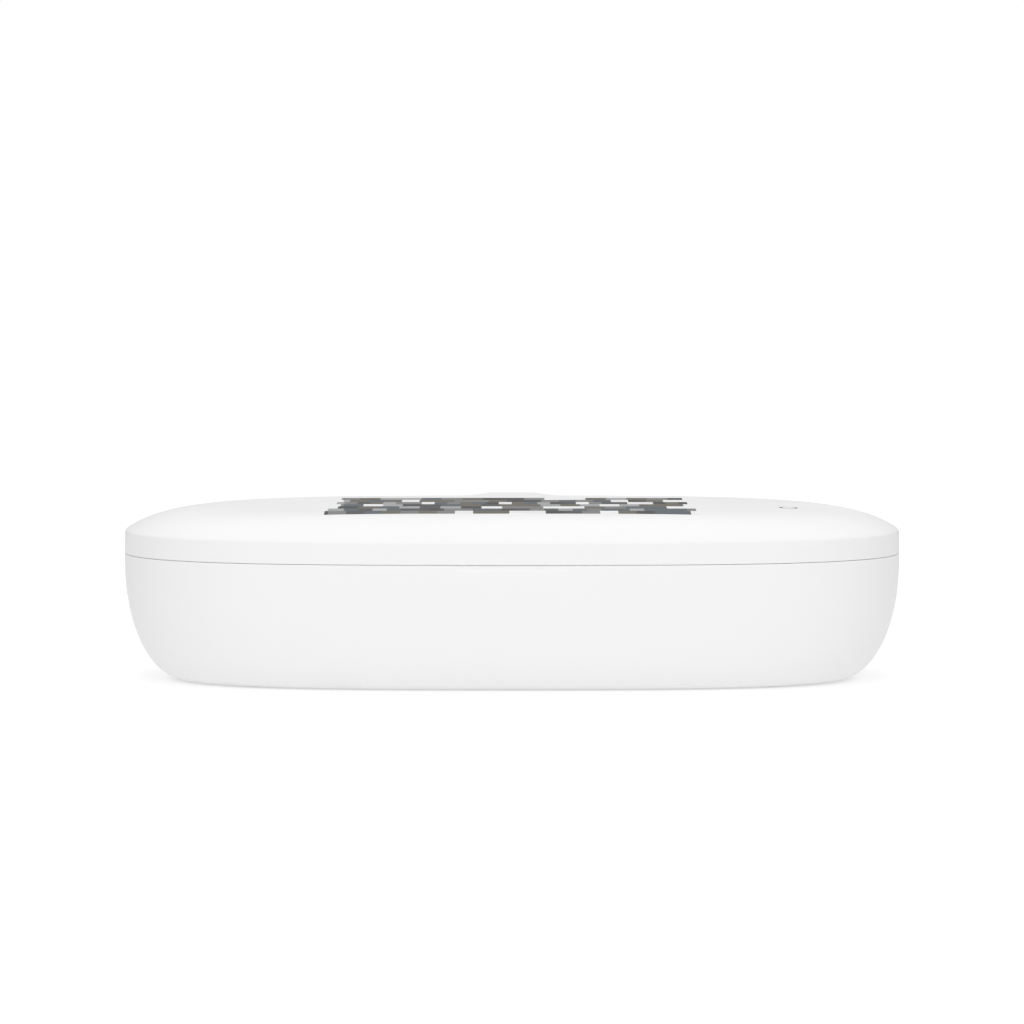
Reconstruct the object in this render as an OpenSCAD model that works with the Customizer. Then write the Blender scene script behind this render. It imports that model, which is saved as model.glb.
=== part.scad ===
// Clamshell ultraviolet sanitizer box for phones.
// The casing is a rounded bowl with a domed lid on a rear hinge. A mirrored tray lines the
// bowl, a mirrored panel lines the lid, and each holds three ultraviolet lamps behind quartz
// windows. The lid also carries a wireless charging coil and the power button.
// Frame: origin on the table under the middle of the casing, +X to the right, +Y to the hinge.

/* [Casing] */
// Length of the casing, left to right
body_l = 226; // [215:1:245]
// Depth of the casing, front to back, without the hinge barrel
body_d = 126; // [120:1:140]
// Height of the parting line above the table
seam_z = 37.2; // [36:0.2:44]
// Open gap between the bowl and the lid
seam_gap = 0.4; // [0.3:0.05:0.6]
// Height of the upright band around the lid
lid_band = 5.7; // [5:0.1:7.5]
// Rise of the lid's dome above that band
dome_rise = 7.4; // [7.2:0.1:11]
// Rise of the hump over the hinge, as a share of the dome's rise
hump_share = 0.94; // [0.8:0.01:1]
// Thickness of the casing's walls
wall = 2.5; // [2.2:0.1:3]
// Thickness of the bowl's floor
floor_t = 2.2; // [2:0.1:2.8]
// How far the bowl's sides draw in between the rim and the floor
tuck = 16.7; // [14:0.1:18]
// Squareness of the outline's ends
square_x = 3.25; // [2.8:0.05:3.6]
// Squareness of the outline's long sides
square_y = 2.5; // [2.3:0.05:3]

/* [Finger scoop] */
// Width of the scoop under the front of the lid
scoop_w = 35; // [24:1:50]
// Depth of the scoop into the wall
scoop_depth = 0.9; // [0.8:0.1:1.6]
// Radius of the scoop's section
scoop_r = 5; // [4:0.5:7]
// Radius of the scoop's lower corners
scoop_corner = 2.5; // [1.5:0.1:2.7]

/* [Tray and liner] */
// Width of the tray's flange, from its edge to the chamber's mouth
flange_w = 6.7; // [6.2:0.1:7.6]
// Thickness of that flange
flange_t = 1.6; // [1.5:0.1:2]
// Thickness of the tray's sides and floor
tray_t = 1.5; // [1.2:0.1:2]
// Height of the chamber's floor above the table
chamber_floor_z = 13; // [12.6:0.1:14]
// How far the tray's sides lean in from mouth to floor
tray_draft = 5; // [3:0.5:6]
// Width of the soft gasket around the chamber
gasket_w = 2; // [1.6:0.1:2.4]
// Height of that gasket above the flange
gasket_proud = 0.5; // [0.3:0.05:0.55]
// Thickness of the lid's mirrored panel
liner_t = 1.2; // [1:0.1:1.3]

/* [Lamps] */
// Distance between neighbouring lamps
lamp_pitch = 58; // [50:1:62]
// Radius of each quartz window
window_r = 7; // [6:0.5:8]
// Side of each lamp package
lamp_w = 3.5; // [3:0.1:5]
// Height of each lamp package
lamp_t = 1.2; // [1:0.1:1.4]
// Width of the lamp boards
lamp_board_w = 16; // [14:1:20]

/* [Phone rails] */
// Length of each rail
rail_l = 64; // [50:1:76]
// Width of each rail
rail_w = 3; // [2.5:0.1:4]
// Height of each rail
rail_h = 3.5; // [3:0.1:5]

/* [Hinge] */
// Radius of the hinge barrel
barrel_r = 3.2; // [3:0.05:3.4]
// Radius of the hinge pin
pin_r = 1.25; // [1:0.05:1.5]
// Width of the lid's knuckle
knuckle_w = 20; // [18:0.5:24]
// Width of each of the bowl's two ears
ear_w = 5.2; // [4:0.1:7]
// How far the hinge axis lies in front of the casing's rear face
hinge_in = 0.8; // [0.6:0.05:0.9]
// How far the hinge axis lies below the parting line
hinge_drop = 1.2; // [1.1:0.05:1.5]

/* [Button] */
// Distance of the power button from the right end of the lid
button_in = 32.7; // [29:0.1:37]
// How far the power button lies in front of the lid's middle
button_front = 14.5; // [0:0.5:16]
// Radius of the button's cap
button_r = 2; // [1.8:0.1:2.6]
// Wall of the light ring around the cap
ring_w = 0.45; // [0.4:0.05:0.8]
// Travel of the button
button_travel = 0.5; // [0.3:0.05:0.5]

/* [Charging] */
// Outer radius of the charging coil
coil_r = 22; // [18:0.5:26]
// Inner radius of the charging coil
coil_bore_r = 10; // [8:0.5:12]
// Thickness of the coil
coil_t = 1.2; // [0.8:0.1:1.4]
// Thickness of the ferrite shield
shield_t = 0.8; // [0.6:0.1:1]

/* [Feet and fasteners] */
// Radius of each rubber foot
foot_r = 6; // [5:0.5:8]
// Thickness of each rubber foot
foot_t = 1.6; // [1.4:0.1:2]
// How far the feet stand below the bowl
foot_proud = 0.6; // [0.5:0.1:1]
// Distance between the feet, left to right
foot_span_x = 144; // [130:1:150]
// Distance between the feet, front to back
foot_span_y = 60; // [54:1:64]
// Shank radius of the small screws
screw_r = 1; // [0.9:0.05:1.1]

/* [Boards and socket] */
// Length of the main board
main_l = 64; // [56:1:72]
// Depth of the main board
main_d = 29; // [26:1:30]
// Thickness of the circuit boards
board_t = 1.2; // [1:0.1:1.3]
// Width of the power socket
usb_w = 8.94; // [8.9:0.02:9.1]
// Height of the power socket
usb_h = 3.16; // [3.1:0.02:3.3]
// Length of the power socket
usb_l = 7.4; // [7:0.1:8]

/* [Hidden] */

$fn = 48;
eps = 0.01;
fit = 0.3;          // gap between pieces that are dropped in beside each other
run = 0.05;         // radial gap of the pin and the screws
cut = 1;            // how far a cut runs past the face that it opens
sink = 0.4;         // how far a boss sinks into the wall that carries it
sides = 80;         // points around the casing's outline
half_l = body_l / 2;
half_d = body_d / 2;

// Bowl
bowl_z = foot_proud;                 // underside of the bowl
belly_z = seam_z - 3.3;              // height where the sides begin to draw in
bowl_floor_z = bowl_z + floor_t;
bowl_steps = 12;

// Lid
lid_z = seam_z + seam_gap;
rim_z = lid_z + lid_band;
top_z = rim_z + dome_rise;
dome_power = 9.66;
dome_soft = 0.95;
dome_steps = 10;
dome_inner = 0.35;                   // share of the radius where the dome is flat
hump_in = 7;                         // half width of the hump's level top
hump_out = 17;                       // half width where it has run out
under_top_z = top_z - wall;

// Tray
flange_z = seam_z - 0.2;
flange_edge = wall + fit;            // inset of the flange's edge from the outline
mouth = flange_edge + flange_w;      // inset of the chamber's mouth
gasket_mid = mouth - 3;
gasket_seat = 0.9;
gasket_edges = [gasket_mid - gasket_w / 2, gasket_mid + gasket_w / 2];
groove_edges = gasket_edges + [-0.2, 0.2];
floor_under_z = chamber_floor_z - tray_t;
tray_corner = 4;                     // rounding between the tray's sides and its floor

// Liner
liner_z = lid_z + 0.1;
liner_top_z = liner_z + liner_t;

// Lamps
lamps_x = [-lamp_pitch, 0, lamp_pitch];
window_t = 1;
window_lip = 1;
window_gap_r = 0.1;
lamp_air = 0.4;                      // gap between a lamp and the part it shines through
lower_board_z = floor_under_z - lamp_air - lamp_t - board_t;
upper_board_z = liner_top_z + lamp_air + lamp_t;
lamp_board_l = 2 * lamp_pitch + 22;
board_screw_x = lamp_pitch / 2;
board_boss_r = 2.5;
lamp_grip = 1.6;                     // how far the lamp boards' screws reach into their bosses

// Hinge
hinge_y = half_d - hinge_in;
hinge_z = seam_z - hinge_drop;
barrel_gap = 0.5;                    // gap around the barrel in every piece that it passes
hinge_half = knuckle_w / 2 + fit + ear_w;
plate_t = 2.4;
plate_y = half_d - wall - 0.5;       // back face of both hinge plates
plate_h = 9;                         // from the hinge axis to each plate's far edge
plate_screw_x = 6;
plate_screw_z = 6;                   // from the hinge axis to the plate's screws
plate_screw_y = half_d - 0.9;        // tips of the plates' screws
pin_l = 2 * hinge_half - 0.2;

// Feet, screws and magnets
feet_xy = [for (x = [-1, 1], y = [-1, 1]) [x * foot_span_x / 2, y * foot_span_y / 2]];
head_r = 1.9 * screw_r;
head_t = 1.3;
socket_r = 0.8 * screw_r;            // six-sided drive in each screw's head
socket_deep = 0.6;
tray_screw_l = 7;
liner_screw_l = 6;
pad_r = 4.5;
pad_top_z = bowl_floor_z + 2.2;
foot_seat_z = bowl_z + foot_t - foot_proud;
tray_boss_r = 3;
tray_screw_z = foot_seat_z + head_t;
liner_boss_xy = [for (x = [-1, 1], y = [-1, 1]) [x * (half_l - 21), y * (half_d - 37)]];
magnet = [14, 3.4, 2];
magnet_x = 40;
sensor = [10, 3.2, 1.2];
closure_y = mouth - half_d - tray_t - fit;   // back face of the magnets and the sensor

// Main board and socket
main_z = bowl_floor_z + 4.6;
main_top_z = main_z + board_t;
main_back_y = half_d - 10.6;
main_front_y = main_back_y - main_d;
usb_z = main_top_z + usb_h / 2;
usb_mouth_y = half_d - 6.4;
usb_lip = 2;                         // how far the recess around the socket reaches past it
usb_wall_y = usb_mouth_y - 2;        // inner face of the thickened wall around the socket
usb_block = [usb_w + 2 * usb_lip + 3, 2.7, 6.1];
usb_shell_t = 0.3;
post_in = 4;                         // from the edges of a board to its posts
post_xy = [for (x = [-1, 1], y = [main_front_y + post_in, main_back_y - post_in])
    [x * (main_l / 2 - post_in), y]];
post_r = 2.6;
main_grip = 2.8;                     // how far the main board's screws reach into their posts
chip_t = 0.9;

// Button
button_x = half_l - button_in;
button_y = -button_front;
cap_gap = 0.15;                      // gap between the cap and its ring
ring_r = button_r + cap_gap + ring_w;
dome_at_button = dome_height(1 / unit_r(button_x / half_l, button_front / half_d));
under_button_z = dome_at_button - wall;
cap_proud = 0.05;
ring_flange_t = 1;
ring_flange_z = under_button_z - sink / 2 - ring_flange_t;
ring_flange_r = ring_r + 1.7;
cap_flange_t = 0.6;
cap_flange_r = button_r + 1;
stem_r = 1;
cap_flange_z = ring_flange_z - fit - cap_flange_t;
button_board = [18, 12];
button_board_z = liner_top_z + 3;
button_post_x = 5;
button_post_r = 1.8;
switch_w = 4.5;
switch_t = 1;
switch_nub_t = 0.2;
stem_end_z = button_board_z + board_t + switch_t + switch_nub_t + button_travel + 0.1;

// Charging
coil_top_z = under_top_z - fit;
coil_z = coil_top_z - coil_t;
shield_z = coil_z - shield_t;
shield_lip = 1.5;
charge_board = [52, 26];
charge_board_xy = [-62, 12];         // its front left corner
charge_board_z = upper_board_z + board_t + 0.4;
charge_posts = [for (x = [post_in, charge_board.x - post_in], y = [9, charge_board.y - post_in])
    charge_board_xy + [x, y]];
charge_post_r = 2;

// Outline: a superellipse whose ends and long sides differ in squareness.
// unit_r finds how far along a direction the outline lies, by Newton's method.
function unit_r(c, s, r = 1, steps = 7) = steps == 0 ? r : unit_r(c, s,
    r - (pow(r * c, square_x) + pow(r * s, square_y) - 1)
        / (square_x * pow(r, square_x - 1) * pow(c, square_x)
            + square_y * pow(r, square_y - 1) * pow(s, square_y)), steps - 1);
outline = [for (i = [0:sides - 1]) let (t = 360 * i / sides, r = unit_r(abs(cos(t)), abs(sin(t))))
    [r * cos(t), r * sin(t)]];
function inset_points(inset) = [for (u = outline) [(half_l - inset) * u.x, (half_d - inset) * u.y]];
function ring_at(inset, z) = [for (p = inset_points(inset)) [p.x, p.y, z]];

// Height of the dome at a share rho of the way out, and of the hump over the hinge.
function dome_height(rho) = rim_z + dome_rise * dome_share(rho);
function dome_share(rho) = pow(max(0, 1 - pow(rho, dome_power)), dome_soft);
function ease(t) = let (u = min(1, max(0, t))) u * u * (3 - 2 * u);
function hump(x, y) = y <= 0 ? 0
    : (1 - ease((abs(x) - hump_in) / (hump_out - hump_in))) * ease(y / (half_d / 2)) * hump_share;
function lid_height(rho, x, y) = let (d = dome_share(rho)) rim_z + dome_rise * (d + (1 - d) * hump(x, y));
function dome_ring(inset, rho, rho_top, drop) = [for (u = outline)
    let (x = (half_l - inset) * rho * u.x, y = (half_d - inset) * rho * u.y)
    [x, y, lid_height(rho_top, x, y) - drop]];
dome_rhos = [for (j = [0:dome_steps]) 1 - (1 - dome_inner) * pow(j / dome_steps, 1.6)];
wall_rho = 1 - 2 * wall / (half_l + half_d);

// Closed skin through a stack of rings that share their point count, capped at both ends.
module loft(rings) {
    n = len(rings[0]);
    m = len(rings);
    polyhedron(
        points = [for (r = rings) each r],
        faces = concat(
            [[for (i = [0:n - 1]) i]],
            [for (j = [0:m - 2], i = [0:n - 1]) [j * n + i, (j + 1) * n + i, j * n + (i + 1) % n]],
            [for (j = [0:m - 2], i = [0:n - 1])
                [j * n + (i + 1) % n, (j + 1) * n + i, (j + 1) * n + (i + 1) % n]],
            [[for (i = [n - 1:-1:0]) (m - 1) * n + i]]),
        convexity = 6);
}

module slab(inset, z, t) {
    translate([0, 0, z]) linear_extrude(t) polygon(inset_points(inset));
}

module box(x, y, z, size) {
    translate([x, y, z]) cube(size);
}

module post(x, y, z, r, h) {
    translate([x, y, z]) cylinder(r = r, h = h);
}

// Small screw with its head at the far end of +Z; the shank starts at z = 0.
module screw(shank_l) {
    cylinder(r = screw_r, h = shank_l + eps);
    translate([0, 0, shank_l]) difference() {
        cylinder(r = head_r, h = head_t);
        translate([0, 0, head_t - socket_deep]) cylinder(r = socket_r, h = cut, $fn = 6);
    }
}

// Pill-shaped bar along Y, used for the socket and its openings.
module pill(w, h, y0, y1) {
    r = h / 2;
    translate([0, y1, 0]) rotate([90, 0, 0]) linear_extrude(y1 - y0) {
        square([w - h, h], center = true);
        for (s = [-1, 1]) translate([s * (w / 2 - r), 0]) circle(r = r);
    }
}

module along_hinge(x) {
    translate([x, hinge_y, hinge_z]) rotate([0, 90, 0]) children();
}

// ---- Bowl ----

module base_shell() color("white") {
    outer = [for (i = [bowl_steps:-1:0]) let (t = 90 * i / bowl_steps)
        ring_at(tuck * (1 - cos(t)), belly_z - (belly_z - bowl_z) * sin(t))];
    inner = [for (i = [0:bowl_steps]) let (t = 90 * i / bowl_steps)
        ring_at(tuck - (tuck - wall) * cos(t), belly_z - (belly_z - bowl_floor_z) * sin(t))];
    difference() {
        union() {
            loft(concat(outer, [ring_at(0, seam_z), ring_at(wall, seam_z)], inner));
            for (p = feet_xy) post(p.x, p.y, bowl_floor_z - sink, pad_r, pad_top_z - bowl_floor_z + sink);
            for (p = post_xy) post(p.x, p.y, bowl_floor_z - sink, post_r, main_z - bowl_floor_z + sink);
            hinge_seat(hinge_half, hinge_z - plate_h, plate_h - barrel_r - barrel_gap);
            box(-usb_block.x / 2, usb_wall_y, usb_z - 1, usb_block);
        }
        finger_scoop();
        hinge_window();
        for (p = feet_xy) {
            post(p.x, p.y, bowl_z - cut, foot_r + 0.2, foot_seat_z - bowl_z + cut);
            post(p.x, p.y, 0, head_r + 0.2, tray_screw_z + 0.1);
            post(p.x, p.y, 0, screw_r + run, pad_top_z + cut);
        }
        for (p = post_xy) post(p.x, p.y, main_z - main_grip - 0.2, screw_r + run, main_grip + cut);
        translate([0, 0, usb_z]) {
            pill(usb_w + 0.5, usb_h + 0.5, usb_wall_y - cut, half_d);
            pill(usb_w + 2 * usb_lip, usb_h + 2 * usb_lip, usb_mouth_y, half_d);
        }
        wall_holes(hinge_z - plate_screw_z);
    }
}

module finger_scoop() {
    drop = sqrt(pow(scoop_r, 2) - pow(scoop_r - scoop_depth, 2));
    intersection() {
        translate([-scoop_w, -half_d - scoop_r + scoop_depth, seam_z]) rotate([0, 90, 0])
            cylinder(r = scoop_r, h = 2 * scoop_w);
        translate([0, -half_d + scoop_r, seam_z]) rotate([90, 0, 0]) linear_extrude(2 * scoop_r) {
            square([scoop_w, 2 * (drop - scoop_corner)], center = true);
            square([scoop_w - 2 * scoop_corner, 2 * drop + cut], center = true);
            for (s = [-1, 1]) translate([s * (scoop_w / 2 - scoop_corner), scoop_corner - drop])
                circle(r = scoop_corner);
        }
    }
}

// Room for the hinge barrel and its ears, cut alike from every piece that they pass.
module hinge_window() {
    x = hinge_half + barrel_gap;
    box(-x, hinge_y - barrel_r - barrel_gap, hinge_z - barrel_r - barrel_gap,
        [2 * x, 2 * barrel_r + wall, 2 * (barrel_r + barrel_gap)]);
}

// Flat pad on the inside of a rear wall for a hinge plate that reaches x to either side.
module hinge_seat(x, z, h) {
    box(-x - 0.5, plate_y, z - 0.5, [2 * x + 1, half_d - wall - plate_y + 1, h + 0.5]);
}

module wall_holes(z) for (s = [-1, 1])
    translate([s * plate_screw_x, plate_screw_y + 0.1, z]) rotate([90, 0, 0])
        cylinder(r = screw_r + run, h = half_d - plate_y);

module rubber_feet() color("gainsboro") for (p = feet_xy) post(p.x, p.y, 0, foot_r, foot_t);

module tray_screws() color("silver") for (p = feet_xy)
    translate([p.x, p.y, tray_screw_z + tray_screw_l]) mirror([0, 0, 1]) screw(tray_screw_l);

// ---- Chamber tray ----

module chamber_tray() color("silver") {
    depth = flange_z - chamber_floor_z;
    deep_in = mouth + tray_draft * (1 - tray_corner / depth);
    sides_out = mouth - tray_t;
    floor_in = mouth + tray_draft + tray_corner;
    corner = [for (i = [1:4]) let (t = 90 * i / 4)
        [deep_in + (floor_in - deep_in) * (1 - cos(t)), chamber_floor_z + tray_corner * (1 - sin(t))]];
    outer = concat([for (i = [3:-1:0]) [corner[i][0] - (i == 3 ? 0 : tray_t), corner[i][1] - tray_t]],
        [[deep_in - tray_t, chamber_floor_z + tray_corner - tray_t]]);
    difference() {
        union() {
            loft(concat(
                [for (c = outer) ring_at(c[0], c[1])],
                [ring_at(sides_out, flange_z - flange_t), ring_at(flange_edge, flange_z - flange_t),
                 ring_at(flange_edge, flange_z),
                 ring_at(groove_edges[0], flange_z), ring_at(groove_edges[0], flange_z - gasket_seat),
                 ring_at(groove_edges[1], flange_z - gasket_seat), ring_at(groove_edges[1], flange_z),
                 ring_at(mouth, flange_z), ring_at(deep_in, chamber_floor_z + tray_corner)],
                [for (c = corner) ring_at(c[0], c[1])]));
            for (p = feet_xy) post(p.x, p.y, pad_top_z, tray_boss_r, floor_under_z - pad_top_z + sink);
            for (s = [-1, 1]) post(s * board_screw_x, 0, lower_board_z + board_t, board_boss_r,
                floor_under_z - lower_board_z - board_t + sink);
        }
        for (x = lamps_x) {
            post(x, 0, floor_under_z - cut, window_r - window_lip, tray_t + 2 * cut);
            post(x, 0, chamber_floor_z - window_t, window_r + window_gap_r, window_t + cut);
        }
        for (p = feet_xy) post(p.x, p.y, tray_screw_z, screw_r + run, tray_screw_l + fit);
        for (s = [-1, 1]) post(s * board_screw_x, 0, lower_board_z, screw_r + run,
            board_t + lamp_grip + fit);
        hinge_window();
    }
}

module rim_gasket() color("dimgray") difference() {
    slab(gasket_edges[0], flange_z - gasket_seat, gasket_seat + gasket_proud);
    slab(gasket_edges[1], flange_z - gasket_seat - cut, gasket_seat + gasket_proud + 2 * cut);
}

module phone_rails() color("lightcyan") for (s = [-1, 1])
    translate([s * board_screw_x, rail_l / 2, chamber_floor_z]) rotate([90, 0, 0])
        linear_extrude(rail_l) {
            translate([-rail_w / 2, 0]) square([rail_w, rail_h - rail_w / 2]);
            translate([0, rail_h - rail_w / 2]) circle(r = rail_w / 2);
        }

// ---- Lamps, shared by the tray and the lid ----

module windows(z) color("lightblue") for (x = lamps_x) post(x, 0, z, window_r, window_t);

module lamp_board(z) color("seagreen") difference() {
    translate([-lamp_board_l / 2, -lamp_board_w / 2, z]) cube([lamp_board_l, lamp_board_w, board_t]);
    for (s = [-1, 1]) post(s * board_screw_x, 0, z - cut, screw_r + run, board_t + 2 * cut);
}

module lamps(z) color("lightyellow") for (x = lamps_x)
    translate([x - lamp_w / 2, -lamp_w / 2, z]) cube([lamp_w, lamp_w, lamp_t]);

module lower_windows() windows(chamber_floor_z - window_t);
module lower_lamp_board() lamp_board(lower_board_z);
module lower_lamps() lamps(lower_board_z + board_t);
module lower_board_screws() color("silver") for (s = [-1, 1])
    translate([s * board_screw_x, 0, lower_board_z + board_t + lamp_grip]) mirror([0, 0, 1])
        screw(board_t + lamp_grip);

// ---- Main board and its socket ----

module main_board() color("seagreen") difference() {
    translate([-main_l / 2, main_front_y, main_z]) cube([main_l, main_d, board_t]);
    for (p = post_xy) post(p.x, p.y, main_z - cut, screw_r + run, board_t + 2 * cut);
}

module main_board_parts() color("dimgray") {
    box(-main_l / 4, main_front_y + 8, main_top_z, [7, 7, chip_t]);
    box(main_l / 7, main_front_y + 7, main_top_z, [8, 8, 2.2]);
    box(-main_l / 12, main_front_y + 3, main_top_z, [4, 5, 1.4]);
    post(main_l / 25, main_front_y + 13, main_top_z, 2.5, 2.2);
    for (i = [-2:2]) box(i * main_l / 10, main_front_y + 19, main_top_z, [3, 1.6, chip_t]);
}

module usb_socket() color("gray") translate([0, 0, usb_z]) {
    difference() {
        pill(usb_w, usb_h, usb_mouth_y - usb_l, usb_mouth_y);
        pill(usb_w - 2 * usb_shell_t, usb_h - 2 * usb_shell_t, usb_mouth_y - usb_l + 1.2, usb_mouth_y + cut);
    }
    box(-3.34, usb_mouth_y - usb_l + 1, -0.35, [6.68, usb_l - 1.5, 0.7]);
}

module main_board_screws() color("silver") for (p = post_xy)
    translate([p.x, p.y, main_z - main_grip]) screw(board_t + main_grip);

// ---- Closure: magnets and lid sensor ----

module base_magnets() color("lightslategray") for (s = [-1, 1])
    box(s * magnet_x - magnet.x / 2, closure_y - magnet.y, flange_z - flange_t - magnet.z, magnet);

module lid_magnets() color("lightslategray") for (x = [-magnet_x, 0, magnet_x])
    box(x - magnet.x / 2, closure_y - magnet.y, liner_top_z, magnet);

module lid_sensor() color("black")
    box(-sensor.x / 2, closure_y - sensor.y, flange_z - flange_t - sensor.z, sensor);

// ---- Hinge ----

// Flat plate of one hinge half, with its two screw holes.
module hinge_plate(x, z, h, screws_z) difference() {
    box(-x, plate_y - plate_t, z, [2 * x, plate_t, h]);
    for (s = [-1, 1]) translate([s * plate_screw_x, plate_y + cut, screws_z]) rotate([90, 0, 0])
        cylinder(r = screw_r + run, h = plate_t + 2 * cut);
}

module hinge_bracket() color("whitesmoke") difference() {
    union() {
        hinge_plate(hinge_half, hinge_z - plate_h, plate_h - barrel_r - barrel_gap,
            hinge_z - plate_screw_z);
        for (x = [-hinge_half, knuckle_w / 2 + fit]) {
            along_hinge(x) cylinder(r = barrel_r, h = ear_w);
            box(x, plate_y - plate_t, hinge_z - plate_h / 2,
                [ear_w, plate_t, flange_z - flange_t - fit - hinge_z + plate_h / 2]);
        }
    }
    along_hinge(-hinge_half - cut) cylinder(r = pin_r + run, h = 2 * (hinge_half + cut));
}

module hinge_arm() color("whitesmoke") difference() {
    union() {
        along_hinge(-knuckle_w / 2) cylinder(r = barrel_r, h = knuckle_w);
        box(-knuckle_w / 2, hinge_y - barrel_r - 0.2, hinge_z,
            [knuckle_w, barrel_r + 0.2, barrel_r + barrel_gap - 0.1]);
        hinge_plate(knuckle_w / 2, liner_top_z + 0.1, hinge_z + plate_h - liner_top_z,
            hinge_z + plate_screw_z);
    }
    along_hinge(-hinge_half) cylinder(r = pin_r + run, h = 2 * hinge_half);
}

module plate_screws(z) color("silver") for (s = [-1, 1])
    translate([s * plate_screw_x, plate_screw_y, z]) rotate([90, 0, 0])
        screw(plate_screw_y - plate_y + plate_t);

module bracket_screws() plate_screws(hinge_z - plate_screw_z);
module arm_screws() plate_screws(hinge_z + plate_screw_z);

module hinge_pin() color("silver") along_hinge(-pin_l / 2) cylinder(r = pin_r, h = pin_l);

// ---- Lid ----

module lid_shell() color("white") difference() {
    union() {
        loft(concat(
            [for (j = [dome_steps:-1:0]) dome_ring(wall, dome_rhos[j], dome_rhos[j] * wall_rho, wall)],
            [ring_at(wall, lid_z), ring_at(0, lid_z)],
            [for (j = [0:dome_steps]) dome_ring(0, dome_rhos[j], dome_rhos[j], 0)]));
        for (p = liner_boss_xy) post(p.x, p.y, liner_top_z, tray_boss_r, under_top_z - liner_top_z - sink);
        hinge_seat(knuckle_w / 2, lid_z + 0.5, hinge_z + plate_h - lid_z);
    }
    hinge_window();
    for (p = liner_boss_xy) post(p.x, p.y, liner_z, screw_r + run, liner_screw_l + cut);
    wall_holes(hinge_z + plate_screw_z);
    post(button_x, button_y, rim_z, ring_r + run, dome_rise + cut);
}

module lid_liner() color("silver") difference() {
    union() {
        slab(wall + fit, liner_z, liner_t);
        for (s = [-1, 1]) liner_post([s * board_screw_x, 0], board_boss_r, upper_board_z);
        for (s = [-1, 1]) liner_post([button_x + s * button_post_x, button_y], button_post_r, button_board_z);
        for (p = charge_posts) liner_post(p, charge_post_r, charge_board_z);
    }
    for (x = lamps_x) {
        post(x, 0, liner_z - cut, window_r + window_gap_r, window_t + cut);
        post(x, 0, liner_z - cut, window_r - window_lip, liner_t + 2 * cut);
    }
    for (s = [-1, 1]) post(s * board_screw_x, 0, upper_board_z - lamp_grip - 0.2, screw_r + run,
        lamp_grip + cut);
    for (p = liner_boss_xy) post(p.x, p.y, liner_z - cut, screw_r + run, liner_t + 2 * cut);
    hinge_window();
}

module liner_post(p, r, top_z) {
    post(p.x, p.y, liner_top_z - sink, r, top_z - liner_top_z + sink);
}

module upper_windows() windows(liner_z);
module upper_lamp_board() lamp_board(upper_board_z);
module upper_lamps() lamps(upper_board_z - lamp_t);
module upper_board_screws() color("silver") for (s = [-1, 1])
    translate([s * board_screw_x, 0, upper_board_z - lamp_grip]) screw(board_t + lamp_grip);
module liner_screws() color("silver") for (p = liner_boss_xy)
    translate([p.x, p.y, liner_z + liner_screw_l]) mirror([0, 0, 1]) screw(liner_screw_l);

module charging_coil() color("peru") difference() {
    post(0, 0, coil_z, coil_r, coil_t);
    post(0, 0, coil_z - cut, coil_bore_r, coil_t + 2 * cut);
}

module coil_shield() color("darkslategray") post(0, 0, shield_z, coil_r + shield_lip, shield_t);

module charging_board() color("seagreen")
    box(charge_board_xy.x, charge_board_xy.y, charge_board_z, [charge_board.x, charge_board.y, board_t]);

module charging_board_parts() color("dimgray") {
    translate([charge_board_xy.x + post_in, charge_board_xy.y, charge_board_z + board_t]) {
        box(0, charge_board.y * 0.4, 0, [6, 6, chip_t]);
        box(charge_board.x / 5, charge_board.y * 0.45, 0, [5, 5, chip_t]);
        for (i = [0:3]) box(i * charge_board.x / 10, charge_board.y * 0.77, 0, [3, 1.6, chip_t]);
    }
}

// ---- Button ----

module light_ring() color("gray") translate([button_x, button_y, 0]) difference() {
    union() {
        post(0, 0, ring_flange_z, ring_flange_r, ring_flange_t);
        post(0, 0, ring_flange_z, ring_r, dome_at_button - ring_flange_z);
    }
    post(0, 0, ring_flange_z - cut, button_r + cap_gap, dome_at_button - ring_flange_z + 2 * cut);
}

module power_button() color("white") translate([button_x, button_y, 0]) {
    post(0, 0, cap_flange_z, button_r, dome_at_button + cap_proud - cap_flange_z);
    post(0, 0, cap_flange_z, cap_flange_r, cap_flange_t);
    post(0, 0, stem_end_z, stem_r, cap_flange_z - stem_end_z + cap_flange_t / 2);
}

module button_board() color("seagreen")
    box(button_x - button_board.x / 2, button_y - button_board.y / 2, button_board_z,
        [button_board.x, button_board.y, board_t]);

module button_switch() color("black") translate([button_x, button_y, button_board_z + board_t]) {
    box(-switch_w / 2, -switch_w / 2, 0, [switch_w, switch_w, switch_t]);
    post(0, 0, 0, stem_r, switch_t + switch_nub_t);
}

base_shell();
chamber_tray();
rim_gasket();
phone_rails();
lower_windows();
lower_lamp_board();
lower_lamps();
lower_board_screws();
main_board();
main_board_parts();
usb_socket();
main_board_screws();
rubber_feet();
tray_screws();
base_magnets();
lid_sensor();
hinge_bracket();
bracket_screws();
hinge_pin();
lid_shell();
lid_liner();
upper_windows();
upper_lamp_board();
upper_lamps();
upper_board_screws();
charging_coil();
coil_shield();
charging_board();
charging_board_parts();
hinge_arm();
arm_screws();
liner_screws();
lid_magnets();
light_ring();
button_board();
button_switch();
power_button();
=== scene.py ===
"""Looks of a clamshell ultraviolet sanitizer box for phones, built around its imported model.

Frame: origin on the table under the middle of the casing, +X to the right, +Y to the hinge,
+Z up. Lengths are written in millimetres times MM, and used in metres.
"""

import math

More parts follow.
